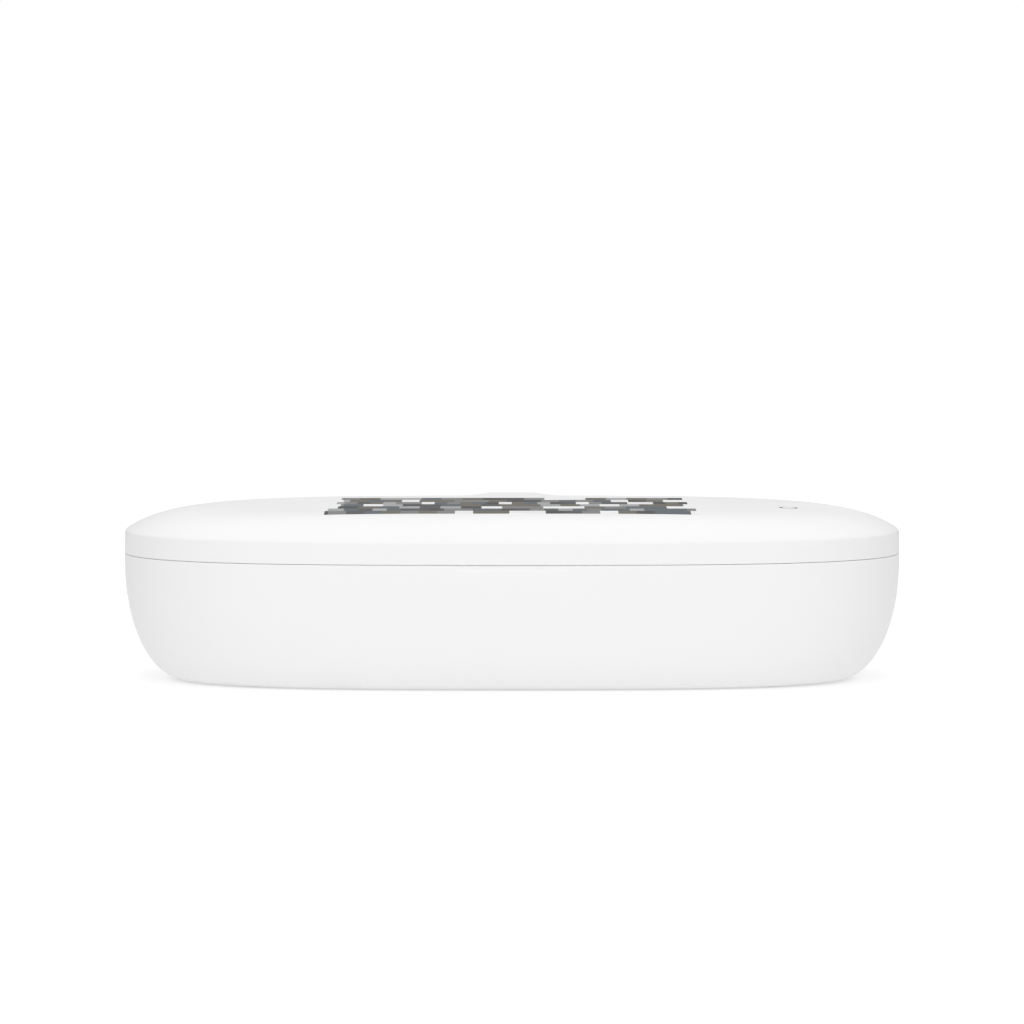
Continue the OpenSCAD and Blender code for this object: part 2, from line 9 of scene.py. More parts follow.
import bmesh
import bpy
import numpy as np
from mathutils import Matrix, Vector


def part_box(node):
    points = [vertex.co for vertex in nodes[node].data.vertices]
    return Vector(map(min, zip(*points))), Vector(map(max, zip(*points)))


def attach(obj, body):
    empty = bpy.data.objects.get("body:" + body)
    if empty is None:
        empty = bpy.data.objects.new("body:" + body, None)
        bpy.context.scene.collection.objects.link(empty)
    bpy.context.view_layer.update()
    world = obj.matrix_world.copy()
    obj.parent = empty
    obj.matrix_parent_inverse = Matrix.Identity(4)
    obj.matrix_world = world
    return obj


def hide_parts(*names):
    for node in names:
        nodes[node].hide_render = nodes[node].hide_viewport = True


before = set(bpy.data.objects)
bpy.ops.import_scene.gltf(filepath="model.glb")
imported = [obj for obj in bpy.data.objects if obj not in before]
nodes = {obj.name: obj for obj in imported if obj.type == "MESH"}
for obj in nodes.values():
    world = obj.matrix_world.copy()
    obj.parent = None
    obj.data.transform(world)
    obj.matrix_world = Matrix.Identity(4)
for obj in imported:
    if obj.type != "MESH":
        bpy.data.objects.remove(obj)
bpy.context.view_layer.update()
MM = 0.001

# ---- Places read from the model ----

base_lo, base_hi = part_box("base_shell")
lid_lo, lid_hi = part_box("lid_shell")
gasket_lo, gasket_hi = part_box("rim_gasket")
window_lo, window_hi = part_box("lower_windows")
pin_lo, pin_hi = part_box("hinge_pin")
cap_lo, cap_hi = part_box("power_button")
HALF_L = base_hi.x
HALF_D = -base_lo.y
TOP_Z = lid_hi.z
FLANGE_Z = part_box("chamber_tray")[1].z
LINER_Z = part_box("lid_liner")[0].z
HINGE_Y = (pin_lo.y + pin_hi.y) / 2
HINGE_Z = (pin_lo.z + pin_hi.z) / 2
BUTTON_X = (cap_lo.x + cap_hi.x) / 2
BUTTON_Y = (cap_lo.y + cap_hi.y) / 2

# ---- Sizes of the casing, as in the model where no comment says otherwise ----

RIM_DROP = 0.31 * MM           # how far the bowl's rim stands below its solid,
LID_DROP = 0.61 * MM           # and the lid's rim, which leaves a hairline between them
BOWL_DROP = 0.3 * MM           # the same for the bowl's underside, so that the gap under it is thin
SEAM_Z = base_hi.z - RIM_DROP
LID_Z = lid_lo.z - LID_DROP
BOWL_Z = base_lo.z - BOWL_DROP
SQUARE_X = 3.25                # squareness of the outline's ends
SQUARE_Y = 2.5                 # squareness of its long sides
WALL = 2.5 * MM
FLOOR_T = 2.2 * MM
FLOOR_Z = base_lo.z + FLOOR_T  # inside of the bowl's floor
TUCK = 16.7 * MM               # how far the bowl's sides draw in
BELLY_Z = base_hi.z - 3.3 * MM  # height where they begin to
LID_BAND = 5.7 * MM
RIM_Z = lid_lo.z + LID_BAND
DOME_RISE = TOP_Z - RIM_Z
DOME_POWER = 9.66
DOME_SOFT = 0.95
HUMP_IN = 7 * MM               # half width of the hump's level top
HUMP_OUT = 17 * MM             # half width where it has run out
HUMP_SHARE = 0.94              # its height at the rear edge, as a share of the dome's
SCOOP_W = 35 * MM
SCOOP_DEPTH = 0.35 * MM        # less than in the model, because it hardly shows
SCOOP_R = 5 * MM
SCOOP_CORNER = 2.5 * MM
BARREL_R = 3.2 * MM
BARREL_GAP = 0.5 * MM
HINGE_HALF = 15.5 * MM
FOOT_R = 6 * MM
SCREW_R = 1.05 * MM            # radius of the screws' holes
SINK = 0.4 * MM                # how far a post sinks into the wall that carries it

# ---- Outline of the casing ----


def unit_radius(c, s):
    """How far along (c, s) the unit outline |x|^SQUARE_X + |y|^SQUARE_Y = 1 lies."""
    c = np.maximum(np.abs(c), 1e-9)
    s = np.maximum(np.abs(s), 1e-9)
    r = np.minimum(1 / c, 1 / s)
    for _ in range(30):
        miss = (r * c) ** SQUARE_X + (r * s) ** SQUARE_Y - 1
        r -= miss * r / (SQUARE_X * (r * c) ** SQUARE_X + SQUARE_Y * (r * s) ** SQUARE_Y)
    return r


def unit_outline(angles):
    """Points of the unit outline in the directions of the angles."""
    c, s = np.cos(angles), np.sin(angles)
    r = unit_radius(c, s)
    return np.stack([r * c, r * s], 1)


EVEN = unit_outline(np.radians(np.arange(0, 360, 1.0)))
SCOOP_ARC = 12                 # degrees either side of the front that hold the finger scoop
CLOSE_AT_SCOOP = unit_outline(np.radians(np.concatenate([
    np.linspace(-90 - SCOOP_ARC, -90 + SCOOP_ARC, 150, endpoint=False),
    np.arange(-90 + SCOOP_ARC, 270 - SCOOP_ARC, 1.0)])))


def ring(inset, z, outline=EVEN):
    """Points of the casing's outline, drawn in by inset, at height z."""
    x = (HALF_L - inset) * outline[:, 0]
    y = (HALF_D - inset) * outline[:, 1]
    return np.stack([x, y, z + 0 * x], 1)


def circle(x, y, r, z, sides):
    angles = np.linspace(0, 2 * math.pi, sides, endpoint=False)
    return np.stack([x + r * np.cos(angles), y + r * np.sin(angles), z + 0 * angles], 1)


def curve(start, corner, end, steps):
    """Points of a bend that leaves start towards the corner and comes to end from it."""
    return [(1 - t) ** 2 * start + 2 * t * (1 - t) * corner + t ** 2 * end
            for t in np.linspace(0, 1, steps + 1)]


def rounded(corners, steps=5):
    """Profile through the corners (a, b, radius); a corner without a radius stays sharp."""
    points = []
    for k, corner in enumerate(corners):
        here = np.array(corner[:2])
        if len(corner) == 2:
            points.append(here)
            continue
        before = np.array(corners[k - 1][:2]) - here
        after = np.array(corners[(k + 1) % len(corners)][:2]) - here
        start = here + before / np.linalg.norm(before) * corner[2]
        end = here + after / np.linalg.norm(after) * corner[2]
        points += curve(start, here, end, steps)
    return points


# ---- Meshes ----

SHARP = math.radians(32)       # edges that turn by more than this stay sharp


def new_object(name, mesh):
    piece = bpy.data.objects.new(name, mesh)
    bpy.context.scene.collection.objects.link(piece)
    return piece


def smooth(piece):
    piece.data.shade_smooth()
    piece.data.set_sharp_from_angle(angle=SHARP)
    return piece


def from_bmesh(name, bm):
    mesh = bpy.data.meshes.new(name)
    bm.to_mesh(mesh)
    bm.free()
    return smooth(new_object(name, mesh))


def skin(name, rings, closed=False):
    """Skin over rings with one count of points. It ends in flat caps, or closes on itself."""
    bm = bmesh.new()
    rows = [[bm.verts.new(p) for p in points] for points in rings]
    count = len(rows[0])
    pairs = list(zip(rows, rows[1:] + rows[:1])) if closed else list(zip(rows, rows[1:]))
    for low, high in pairs:
        for i in range(count):
            j = (i + 1) % count
            bm.faces.new([low[i], low[j], high[j], high[i]])
    if not closed:
        bm.faces.new(rows[0])
        bm.faces.new(rows[-1])
    bmesh.ops.recalc_face_normals(bm, faces=bm.faces)
    return from_bmesh(name, bm)


def turned(name, x, y, profile, closed=False, sides=64):
    """Round piece about an upright axis, from its profile of (radius, height)."""
    return skin(name, [circle(x, y, r, z, sides) for r, z in profile], closed)


def joined(name, parts):
    """One object from several that don't touch."""
    bm = bmesh.new()
    for part in parts:
        bm.from_mesh(part.data)
        bpy.data.objects.remove(part)
    return from_bmesh(name, bm)


def post(x, y, z, r, h):
    return turned("post", x, y, [(r, z), (r, z + h)], sides=48)


def block(lo, hi):
    """Box between two opposite corners."""
    corners = np.array([[lo[0], lo[1]], [hi[0], lo[1]], [hi[0], hi[1]], [lo[0], hi[1]]])
    return skin("block", [np.column_stack([corners, [z] * 4]) for z in (lo[2], hi[2])])


def pill(w, h, z, y0, y1):
    """Bar along Y whose section is a flat slot w wide and h high, centred on height z."""
    sides = 48
    angles = np.linspace(0, 2 * math.pi, sides, endpoint=False) + math.pi / sides
    x = h / 2 * np.cos(angles) + np.sign(np.cos(angles)) * (w - h) / 2
    up = z + h / 2 * np.sin(angles)
    return skin("pill", [np.stack([x, y + 0 * x, up], 1) for y in (y0, y1)])


def carve(piece, add=(), cut=()):
    """Joins solids to a piece, then cuts others out of it."""
    for operation, tools in (("UNION", add), ("DIFFERENCE", cut)):
        if not tools:
            continue
        tool = joined("tool", tools)
        step = piece.modifiers.new(operation, "BOOLEAN")
        step.operation = operation
        step.solver = "EXACT"
        step.object = tool
        graph = bpy.context.evaluated_depsgraph_get()
        mesh = bpy.data.meshes.new_from_object(piece.evaluated_get(graph))
        piece.modifiers.clear()
        piece.data = mesh
        bpy.data.objects.remove(tool)
    return smooth(piece)


def softened(name, node, width):
    """Copy of a model's node with its sharp edges rounded."""
    flat = math.radians(0.5)       # faces that meet at less than this become one
    corner = math.radians(30)      # edges that turn by more than this are rounded
    bm = bmesh.new()
    bm.from_mesh(nodes[node].data)
    bmesh.ops.remove_doubles(bm, verts=bm.verts, dist=0.001 * MM)
    bmesh.ops.dissolve_limit(bm, angle_limit=flat, verts=bm.verts, edges=bm.edges)
    edges = [e for e in bm.edges if e.is_manifold and e.calc_face_angle() > corner]
    bmesh.ops.bevel(bm, geom=edges, offset=width, segments=2, profile=0.5,
                    affect="EDGES", clamp_overlap=True)
    bmesh.ops.recalc_face_normals(bm, faces=bm.faces)
    return from_bmesh(name, bm)


# ---- Materials ----

WHITE = (1, 1, 1, 1)
DRIFT_SCALE = 35.0             # cells a metre of the noise that lets tone and gloss drift
MARKS_SCALE = 160.0            # and of the noise for handling marks
MARK_TONE = 0.8                # how dark a mark is, as a share of the colour
GLOSS_DRIFT = 0.04


def add(tree, kind, inputs=None, **settings):
    """Adds a shader node; an input is a constant or the socket that feeds it."""
    item = tree.nodes.new("ShaderNode" + kind)
    for key, value in settings.items():
        setattr(item, key, value)
    for socket, value in (inputs or {}).items():
        if isinstance(value, bpy.types.NodeSocket):
            tree.links.new(value, item.inputs[socket])
        else:
            item.inputs[socket].default_value = value
    return item


def maths(tree, operation, a, b=0.0, c=0.0):
    return add(tree, "Math", {0: a, 1: b, 2: c}, operation=operation).outputs[0]


def spread(tree, value, low, high, start=0.3, end=0.7):
    """Turns a value that runs from start to end into one that runs from low to high."""
    ranged = add(tree, "MapRange", {"Value": value, "From Min": start, "From Max": end,
                                    "To Min": low, "To Max": high})
    return ranged.outputs["Result"]


def blended(tree, factor, a, b):
    """Colour between a and b."""
    mix = add(tree, "Mix", {0: factor, 6: a, 7: b}, data_type="RGBA")
    return mix.outputs[2]


def shade(colour, factor):
    """The colour made lighter or darker by a factor, as a node takes it."""
    return tuple(min(1.0, channel * factor) for channel in colour) + (1.0,)


def surface(name, colour, roughness, metallic=0.0, tint=0.02, grain=0.3 * MM, bump=0.004 * MM,
            stretch=(1, 1, 1), wear=0.06, **constants):
    """Material with a fine grain, drifting tone and gloss, and faint handling marks."""
    material = bpy.data.materials.new(name)
    material.use_nodes = True
    tree = material.node_tree
    shader = tree.nodes["Principled BSDF"]
    spot = add(tree, "TexCoord").outputs["Object"]
    along = add(tree, "Mapping", {"Vector": spot, "Scale": stretch}).outputs["Vector"]
    fine = add(tree, "TexNoise", {"Vector": along, "Scale": 1 / grain, "Detail": 2.0})
    drift = add(tree, "TexNoise", {"Vector": spot, "Scale": DRIFT_SCALE, "Detail": 3.0})
    marks = add(tree, "TexNoise", {"Vector": spot, "Scale": MARKS_SCALE, "Detail": 8.0,
                                   "Roughness": 0.7, "Distortion": 1.5})
    worn = spread(tree, marks.outputs["Fac"], 0.0, 1.0, 0.6, 0.72)
    tone = blended(tree, drift.outputs["Fac"], shade(colour, 1 - tint), shade(colour, 1 + tint))
    tone = blended(tree, maths(tree, "MULTIPLY", worn, wear), tone, shade(colour, MARK_TONE))
    gloss = spread(tree, drift.outputs["Fac"], roughness - GLOSS_DRIFT, roughness + GLOSS_DRIFT)
    gloss = maths(tree, "MULTIPLY_ADD", worn, wear, gloss)
    relief = add(tree, "Bump", {"Height": fine.outputs["Fac"], "Distance": bump,
                                "Strength": 1.0}).outputs["Normal"]
    tree.links.new(tone, shader.inputs["Base Color"])
    tree.links.new(gloss, shader.inputs["Roughness"])
    tree.links.new(relief, shader.inputs["Normal"])
    shader.inputs["Metallic"].default_value = metallic
    for socket, value in constants.items():
        shader.inputs[socket.replace("_", " ")].default_value = value
    return material


CASE_COLOUR = (0.88, 0.88, 0.88)
PRINT_HALF_W = 56 * MM
PRINT_FRONT = -44 * MM
PRINT_BACK = 28 * MM
PRINT_ROWS = 7
PRINT_TAPER = 0.8 * MM         # how far each row stops short of the row in front, at either end
PRINT_RAGGED = 4 * MM          # how far a row may stop short of that
TILE_W = 5 * MM                # a row's tiles are from 0.75 to 1.25 times as wide
TILE_D = (PRINT_BACK - PRINT_FRONT) / PRINT_ROWS
TILE_COLOURS = [               # each with the chance at which it begins
    (0.00, (0.045, 0.045, 0.045)), (0.16, (0.09, 0.11, 0.125)), (0.34, (0.135, 0.12, 0.095)),
    (0.50, (0.20, 0.20, 0.20)), (0.62, (0.07, 0.07, 0.075)), (0.72, (0.36, 0.37, 0.38)),
    (0.84, (0.86, 0.86, 0.86))]
STREAKS = (60, 700, 1)         # of the tiles' brushed look, in cells a metre


def printed(material):
    """Adds a generic mosaic of slim grey tiles to the middle of the lid's top."""
    tree = material.node_tree
    shader = tree.nodes["Principled BSDF"]
    bare = shader.inputs["Base Color"].links[0].from_socket
    spot = add(tree, "TexCoord").outputs["Object"]
    parts = add(tree, "SeparateXYZ", {"Vector": spot}).outputs
    x, y, z = parts["X"], parts["Y"], parts["Z"]
    back = maths(tree, "DIVIDE", maths(tree, "SUBTRACT", y, PRINT_FRONT), TILE_D)
    row = maths(tree, "FLOOR", back)
    chance = add(tree, "TexWhiteNoise", {"W": row}, noise_dimensions="1D")
    chances = add(tree, "SeparateColor", {"Color": chance.outputs["Color"]})
    width = maths(tree, "MULTIPLY_ADD", chances.outputs["Red"], 0.5 * TILE_W, 0.75 * TILE_W)
    moved = maths(tree, "MULTIPLY_ADD", chances.outputs["Green"], TILE_W, x)
    column = maths(tree, "FLOOR", maths(tree, "DIVIDE", moved, width))
    cell = add(tree, "CombineXYZ", {"X": column, "Y": row})
    pick = add(tree, "TexWhiteNoise", {"Vector": cell.outputs[0]}, noise_dimensions="2D")
    tiles = add(tree, "ValToRGB", {"Fac": pick.outputs["Value"]})
    ramp = tiles.color_ramp
    ramp.interpolation = "CONSTANT"
    while len(ramp.elements) < len(TILE_COLOURS):
        ramp.elements.new(0.5)
    for element, (position, colour) in zip(ramp.elements, TILE_COLOURS):
        element.position = position
        element.color = colour + (1.0,)
    streaks = add(tree, "Mapping", {"Vector": spot, "Scale": STREAKS}).outputs["Vector"]
    veins = add(tree, "TexNoise", {"Vector": streaks, "Scale": 1.0, "Detail": 4.0})
    veined = add(tree, "HueSaturation", {"Color": tiles.outputs["Color"],
                                         "Value": spread(tree, veins.outputs["Fac"], 0.7, 1.3)})
    edge = maths(tree, "MULTIPLY_ADD", row, -PRINT_TAPER, PRINT_HALF_W)
    edge = maths(tree, "MULTIPLY_ADD", chances.outputs["Blue"], -PRINT_RAGGED, edge)
    inside = maths(tree, "LESS_THAN", maths(tree, "ABSOLUTE", x), edge)
    inside = maths(tree, "MULTIPLY", inside, maths(tree, "GREATER_THAN", y, PRINT_FRONT))
    inside = maths(tree, "MULTIPLY", inside, maths(tree, "LESS_THAN", y, PRINT_BACK))
    inside = maths(tree, "MULTIPLY", inside, maths(tree, "GREATER_THAN", z, RIM_Z + DOME_RISE / 2))
    tree.links.new(blended(tree, inside, bare, veined.outputs["Color"]), shader.inputs["Base Color"])
    return material


MATERIALS = {
    "case_white": surface("case_white", CASE_COLOUR, 0.5, tint=0.006, wear=0.05,
                          Specular_IOR_Level=0.3),
    "mirror_liner": surface("mirror_liner", (0.82, 0.83, 0.85), 0.16, metallic=1.0,
                            stretch=(1, 0.15, 1), bump=0.003 * MM),
    "gasket_grey": surface("gasket_grey", (0.20, 0.205, 0.21), 0.62, tint=0.08, bump=0.01 * MM),
    "rail_clear": surface("rail_clear", (0.90, 0.93, 0.95), 0.3, bump=0.002 * MM,
                          Transmission_Weight=0.45, IOR=1.45),
    "quartz": surface("quartz", (0.93, 0.95, 0.98), 0.06, bump=0.001 * MM, wear=0.03,
                      Transmission_Weight=0.95, IOR=1.46),
    "board_green": surface("board_green", (0.03, 0.16, 0.07), 0.4, tint=0.15, grain=0.8 * MM),
    "board_white": surface("board_white", (0.75, 0.76, 0.75), 0.45, tint=0.04, grain=0.8 * MM),
    "lamp_ceramic": surface("lamp_ceramic", (0.80, 0.76, 0.62), 0.4, tint=0.05),
    "chip_black": surface("chip_black", (0.02, 0.02, 0.022), 0.5, tint=0.2, bump=0.01 * MM),
    "socket_steel": surface("socket_steel", (0.62, 0.62, 0.64), 0.28, metallic=1.0, tint=0.05,
                            stretch=(1, 0.1, 1)),
    "screw_steel": surface("screw_steel", (0.58, 0.58, 0.6), 0.32, metallic=1.0, tint=0.08),
    "pin_steel": surface("pin_steel", (0.66, 0.66, 0.68), 0.2, metallic=1.0, tint=0.04,
                         stretch=(0.1, 1, 1)),
    "foot_rubber": surface("foot_rubber", (0.74, 0.74, 0.74), 0.75, tint=0.03, bump=0.015 * MM),
    "magnet_nickel": surface("magnet_nickel", (0.55, 0.54, 0.52), 0.22, metallic=1.0, tint=0.05),
    "hinge_white": surface("hinge_white", (0.84, 0.84, 0.84), 0.45, tint=0.01),
    "coil_copper": surface("coil_copper", (0.72, 0.36, 0.18), 0.3, metallic=1.0, tint=0.1,
                           grain=0.15 * MM, bump=0.01 * MM),
    "ferrite": surface("ferrite", (0.06, 0.06, 0.065), 0.6, tint=0.2, bump=0.01 * MM),
    "ring_grey": surface("ring_grey", (0.11, 0.11, 0.115), 0.65, tint=0.05,
                         Specular_IOR_Level=0.1),
    "button_white": surface("button_white", CASE_COLOUR, 0.42, tint=0.006),
}
lid_finish = printed(surface("case_white_print", CASE_COLOUR, 0.5, tint=0.006, wear=0.05,
                             Specular_IOR_Level=0.3))


def place(piece, body, slot, *replaced, material=None):
    """Gives a piece its body, its finish and the model's nodes that it stands for."""
    piece.data.materials.clear()
    piece.data.materials.append(material or MATERIALS[slot])
    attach(piece, body)
    if replaced:
        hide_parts(*replaced)


# ---- Camera, which sees the box from just above level ----

VIEW_LENS = 240.2
VIEW_SENSOR = 36.0
VIEW_DISTANCE = 2.0
VIEW_TILT = math.radians(4.15)       # of the line from the camera to VIEW_TARGET
VIEW_PITCH = math.radians(3.543)     # of the camera itself
VIEW_TARGET = Vector((0, 0, 27 * MM))

camera = bpy.data.objects.new("camera", bpy.data.cameras.new("camera"))
bpy.context.scene.collection.objects.link(camera)
camera.data.sensor_width = VIEW_SENSOR
camera.data.lens = VIEW_LENS
camera_side = Vector((0, -math.cos(VIEW_TILT), math.sin(VIEW_TILT)))
camera.location = VIEW_TARGET + VIEW_DISTANCE * camera_side
camera.rotation_euler = (math.pi / 2 - VIEW_PITCH, 0, 0)
bpy.context.scene.camera = camera

# ---- Lower casing ----


def ease(t):
    """Smooth step from 0 to 1."""
    u = np.clip(t, 0, 1)
    return u * u * (3 - 2 * u)


def scoop_depth(x, z):
    """Depth of the finger scoop: a shallow hollow whose ends and corners are rounded off."""
    edge = 0.35 * MM               # how softly its border runs out
    half_w = SCOOP_W / 2 - SCOOP_CORNER
    drop = math.sqrt(SCOOP_R ** 2 - (SCOOP_R - SCOOP_DEPTH) ** 2)
    dz = np.minimum(SEAM_Z - z, drop)
    hollow = np.sqrt(SCOOP_R ** 2 - dz ** 2) - (SCOOP_R - SCOOP_DEPTH)
    out_x = np.maximum(np.abs(x) - half_w, 0)
    out_z = np.maximum(dz - (drop - SCOOP_CORNER), 0)
    outside = np.hypot(out_x, out_z) - SCOOP_CORNER
    return hollow * ease((edge - outside) / (2 * edge))


def bowl_curve(draw, floor_z, turns):
    """The bowl's side below its belly, as (inset, height) for each turn in degrees."""
    t = np.radians(turns)
    return list(zip(TUCK - draw * np.cos(t), BELLY_Z - (BELLY_Z - floor_z) * np.sin(t)))


def bowl():
    """Skin of the bowl, from its underside round the rim to its floor, with the scoop in front."""
    underside_in = 4 * MM          # from the side's foot to the first ring of the level underside
    row = 0.28 * MM                # height between the rings that shape the scoop
    scoop_reach = 2.3 * MM         # inset in the rim where the scoop has run out
    scoop_low_z = SEAM_Z - 4 * MM  # there is none of it below this height
    rim = rounded([(0, BELLY_Z), (0, SEAM_Z, 0.25 * MM), (WALL, SEAM_Z, 0.3 * MM), (WALL, BELLY_Z)])
    outer_edge, inner_edge = rim[1:7], rim[7:13]    # six points for each rounding
    side = [(0, z) for z in np.arange(BELLY_Z + 0.3 * MM, SEAM_Z - 0.4 * MM, row)]
    profile = ([(TUCK + underside_in, BOWL_Z)]
               + bowl_curve(TUCK, BOWL_Z, np.linspace(90, 0, 33)) + side + outer_edge
               + [(0.8 * MM, SEAM_Z), (1.5 * MM, SEAM_Z)] + inner_edge
               + bowl_curve(TUCK - WALL, FLOOR_Z, np.linspace(0, 90, 15)))
    x, y = HALF_L * CLOSE_AT_SCOOP[:, 0], CLOSE_AT_SCOOP[:, 1]
    rings = []
    for inset, z in profile:
        push = np.where(y < 0, scoop_depth(x, z), 0)
        fade = max(0.0, 1 - inset / scoop_reach) if z > scoop_low_z else 0.0
        rings.append(ring(inset + push * fade, z, CLOSE_AT_SCOOP))
    return skin("base_casing", rings)


def power_port():
    """The thick wall around the power socket, the hole that holds it and the recess before it."""
    lo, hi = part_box("usb_socket")
    w = hi.x - lo.x
    h = hi.z - lo.z
    mid_z = (hi.z + lo.z) / 2
    gap = 0.5 * MM
    lip = 4 * MM                   # by which the recess is wider and higher than the socket
    wall_y = hi.y - 2 * MM         # inner face of the thick wall
    wall_t = 2.7 * MM
    half_w = (w + lip + 3 * MM) / 2
    wall = block((-half_w, wall_y, mid_z - MM), (half_w, wall_y + wall_t, mid_z + 5.1 * MM))
    hole = pill(w + gap, h + gap, mid_z, wall_y - MM, HALF_D)
    recess = pill(w + lip, h + lip, mid_z, hi.y, HALF_D + MM)
    return wall, hole, recess


def hinge_window():
    """Room for the hinge barrel and its ears in every piece that they pass."""
    x = HINGE_HALF + BARREL_GAP
    r = BARREL_R + BARREL_GAP
    return block((-x, HINGE_Y - r, HINGE_Z - r), (x, HINGE_Y + BARREL_R + WALL, HINGE_Z + r))


def near_corners(lo, hi, inset):
    """The four places that lie inset from the corners of a box, seen from above."""
    return [(x, y) for x in (lo.x + inset, hi.x - inset) for y in (lo.y + inset, hi.y - inset)]


def base_casing():
    foot_lo, foot_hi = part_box("rubber_feet")
    board_lo, board_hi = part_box("main_board")
    places = near_corners(foot_lo, foot_hi, FOOT_R)
    pad_r = 4.5 * MM
    pad_h = 2.2 * MM
    pad_top_z = FLOOR_Z + pad_h
    foot_gap = 0.2 * MM
    post_in = 4 * MM               # from the main board's edges to its posts
    post_r = 2.6 * MM
    raised = [post(x, y, FLOOR_Z - SINK, pad_r, pad_top_z - FLOOR_Z + SINK) for x, y in places]
    raised += [post(x, y, FLOOR_Z - SINK, post_r, board_lo.z - FLOOR_Z + SINK)
               for x, y in near_corners(board_lo, board_hi, post_in)]
    wall, hole, recess = power_port()
    pockets = [post(x, y, 0, FOOT_R + foot_gap, foot_hi.z) for x, y in places]
    bores = [post(x, y, 0, SCREW_R, pad_top_z + MM) for x, y in places]
    piece = bowl()
    carve(piece, add=raised + [wall], cut=pockets + [hinge_window(), hole])
    carve(piece, cut=[recess] + bores)
    place(piece, "base", "case_white", "base_shell")


# ---- Lid casing ----

DOME_INSETS = MM * np.array([1.3, 1.9, 2.6, 3.4, 4.4, 5.6, 7, 8.6, 10.5, 12.8, 15.5, 18.6, 22, 26,
                             31, 37, 44, 50])    # of the dome's rings, closer where it bends more


def dome_share(rho):
    return np.maximum(0, 1 - rho ** DOME_POWER) ** DOME_SOFT


def lid_height(rho, x, y):
    """Height of the lid a share rho of the way out, with the hump over the hinge."""
    level = 1 - ease((np.abs(x) - HUMP_IN) / (HUMP_OUT - HUMP_IN))
    hump = np.where(y > 0, level * ease(y / (HALF_D / 2)) * HUMP_SHARE, 0)
    dome = dome_share(rho)
    return RIM_Z + DOME_RISE * (dome + (1 - dome) * hump)


def dome_height(x, y):
    return lid_height(1 / unit_radius(x / HALF_L, y / HALF_D), x, y)


def dome_slope(x, y, reach):
    """How steeply the dome rises along X and along Y, measured over reach to either side."""
    return ((dome_height(x + reach, y) - dome_height(x - reach, y)) / (2 * reach),
            (dome_height(x, y + reach) - dome_height(x, y - reach)) / (2 * reach))


def dome_ring(inset, drop=0.0):
    """The outline drawn in by inset and laid on the dome, or at drop below it."""
    points = ring(inset, 0.0)
    points[:, 2] = dome_height(points[:, 0], points[:, 1]) - drop
    return points


def lid():
    """Skin of the lid, from the inside of its dome round the rim to the outside."""
    crease = 0.5 * MM              # how far the rounding at the dome's border reaches
    inner_reach = 46 * MM          # inset where the inside's rings end in a flat middle
    rim = dome_ring(0.0)
    start = rim - [0, 0, crease]
    crease_rings = curve(start, rim, dome_ring(crease), 8)
    foot = rounded([(WALL, RIM_Z), (WALL, LID_Z, 0.3 * MM), (0, LID_Z, 0.25 * MM), (0, RIM_Z)])
    foot_rings = [ring(inset, z) for inset, z in foot[1:-1]]
    band = [foot_rings[-1] + (start - foot_rings[-1]) * t for t in (0.12, 0.3, 0.5, 0.7, 0.88)]
    inner = [dome_ring(WALL + inset, WALL) for inset in DOME_INSETS[::-1] if inset < inner_reach]
    inner_rim = dome_ring(WALL, WALL)
    inner_wall = [inner_rim, inner_rim * [1, 1, 0] + foot_rings[0] * [0, 0, 1] + [0, 0, 0.5 * MM]]
    dome = [dome_ring(inset) for inset in DOME_INSETS]
    return skin("lid_casing", inner + inner_wall + foot_rings + band + crease_rings + dome)


def lid_casing():
    boss_x = HALF_L - 21 * MM
    boss_y = HALF_D - 37 * MM
    boss_r = 3 * MM
    bore_l = 7 * MM
    ring_gap = 0.05 * MM
    bosses = [(x, y) for x in (boss_x, -boss_x) for y in (boss_y, -boss_y)]
    raised = [post(x, y, LINER_TOP_Z, boss_r, dome_height(x, y) - WALL / 2 - LINER_TOP_Z)
              for x, y in bosses]
    hollows = [post(x, y, LID_Z, SCREW_R, bore_l) for x, y in bosses]
    hollows.append(post(BUTTON_X, BUTTON_Y, RIM_Z, RING_R + ring_gap, DOME_RISE + MM))
    piece = lid()
    carve(piece, add=raised, cut=hollows + [hinge_window()])
    place(piece, "lid", "case_white", "lid_shell", material=lid_finish)


# ---- Button and its ring ----

CAP_FLANGE_W = MM
CAP_R = (cap_hi.x - cap_lo.x) / 2 - CAP_FLANGE_W
CAP_GAP = 0.15 * MM
RING_W = 0.65 * MM             # wider than in the model, so that it shows from a step away
RING_R = CAP_R + CAP_GAP + RING_W
RING_FLANGE_W = 1.7 * MM
RING_FLANGE_T = MM
ring_lo, ring_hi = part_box("light_ring")


def leaned(piece):
    """The round piece, with its part above the ring's flange leaning as the dome does there."""
    level_z = ring_lo.z + RING_FLANGE_T + 0.5 * MM
    slope_x, slope_y = dome_slope(BUTTON_X, BUTTON_Y, RING_R)
    for vertex in piece.data.vertices:
        x, y, z = vertex.co
        if z > level_z:
            vertex.co.z = z + slope_x * (x - BUTTON_X) + slope_y * (y - BUTTON_Y)
    return piece


def light_ring():
    bore = CAP_R + CAP_GAP
    flange_r = RING_R + RING_FLANGE_W
    flange_top_z = ring_lo.z + RING_FLANGE_T
    profile = rounded([
        (bore, ring_lo.z), (flange_r, ring_lo.z, 0.1 * MM), (flange_r, flange_top_z, 0.1 * MM),
        (RING_R, flange_top_z), (RING_R, ring_hi.z, 0.09 * MM), (bore, ring_hi.z, 0.09 * MM)])
    piece = turned("button_ring", BUTTON_X, BUTTON_Y, profile, closed=True, sides=96)
    place(leaned(piece), "lid", "ring_grey", "light_ring")


